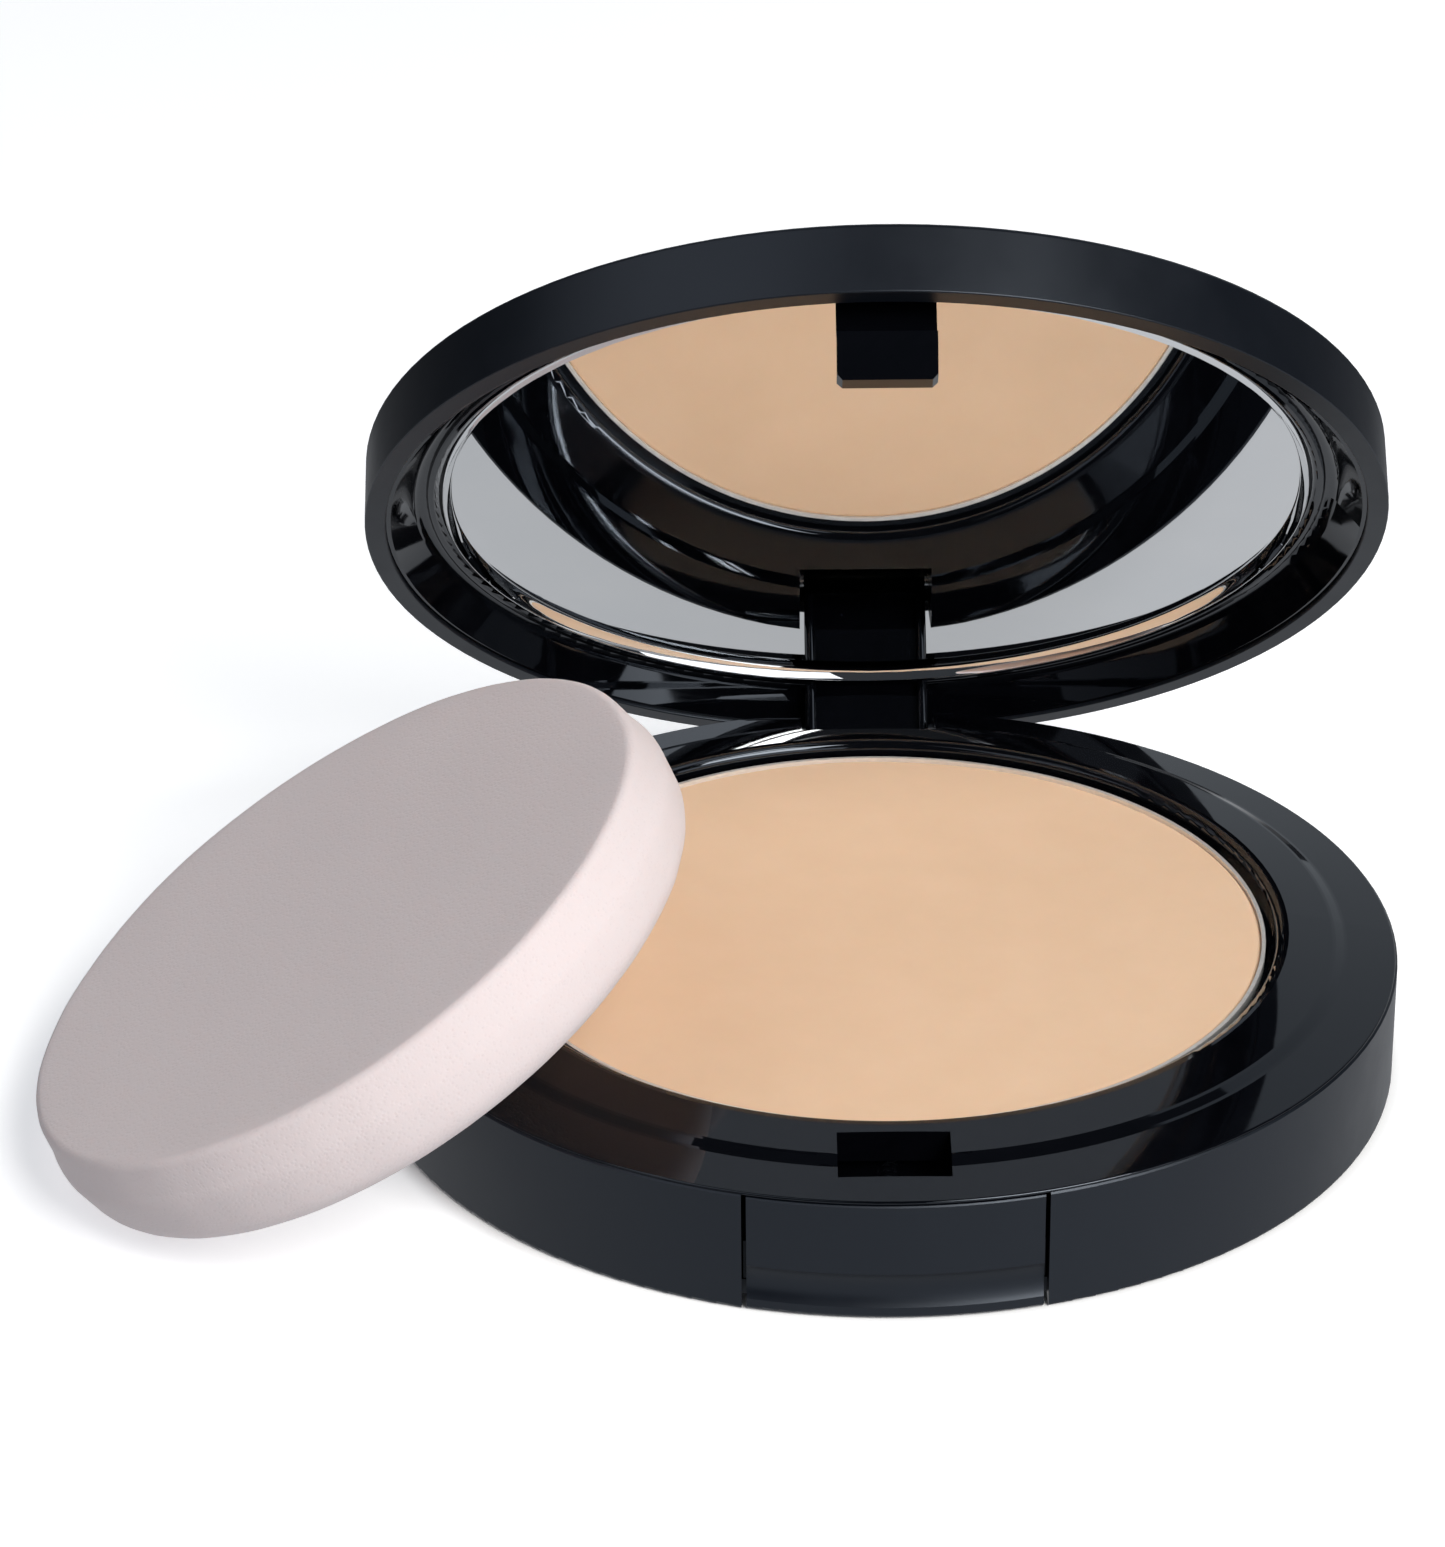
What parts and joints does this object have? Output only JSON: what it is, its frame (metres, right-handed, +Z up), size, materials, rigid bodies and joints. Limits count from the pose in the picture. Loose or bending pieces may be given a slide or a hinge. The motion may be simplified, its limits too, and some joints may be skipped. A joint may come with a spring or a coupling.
{
  "type": "powder compact",
  "caption": "Slim round pressed-powder compact with a hinged mirror lid, push-button latch, refillable pan and a loose round foam sponge.",
  "frame": {"origin": "centre of the base's flat underside, where it stands on a table", "axes": "+Z up out of the powder, -Y towards the push button, +Y towards the hinge, +X to the right seen from the button"},
  "size_m": [0.1048, 0.0886, 0.0699],
  "materials": {
    "satin_black": "satin moulded plastic",
    "gloss_black": "polished moulded plastic",
    "spring_steel": "bright drawn wire",
    "pan_metal": "pressed sheet",
    "pressed_powder": "matt pressed powder",
    "glue": "clear adhesive film",
    "label": "matt film, blank",
    "mirror": "silvered glass with a ground bevel",
    "foam": "fine-pored latex foam"
  },
  "bodies": {
    "base": {"base_shell": "satin_black", "tray": "gloss_black", "button_spring": "spring_steel", "hinge_pin": "spring_steel", "powder_pan": "pan_metal", "powder_cake": "pressed_powder", "pan_adhesive": "glue", "base_label": "label"},
    "push_button": {"push_button": "satin_black"},
    "lid": {"lid_shell": "satin_black", "mirror_frame": "gloss_black", "mirror_glass": "mirror", "mirror_adhesive": "glue"},
    "sponge": {"sponge": "foam"}
  },
  "joints": [
    {"name": "lid_swing", "type": "hinge", "parent": "base", "child": "lid", "pos_m": [0, 0.0366, 0.0037], "axis": [-1, 0, 0], "range_deg": [-49.65, 0]},
    {"name": "button_press", "type": "slide", "parent": "base", "child": "push_button", "axis": [0, 1, 0], "range_m": [0, 0.0006], "stiffness_N_per_m": 600, "springref_m": -0.001, "deforming": ["button_spring"]},
    {"name": "sponge_slide", "type": "slide", "parent": "base", "child": "sponge", "axis": [-1, 0, 0], "range_m": [0, 0.06]}
  ],
  "couplings": [
    {"joint": "sponge_slide", "follows": "lid_swing", "m_per_rad": -0.0691}
  ]
}
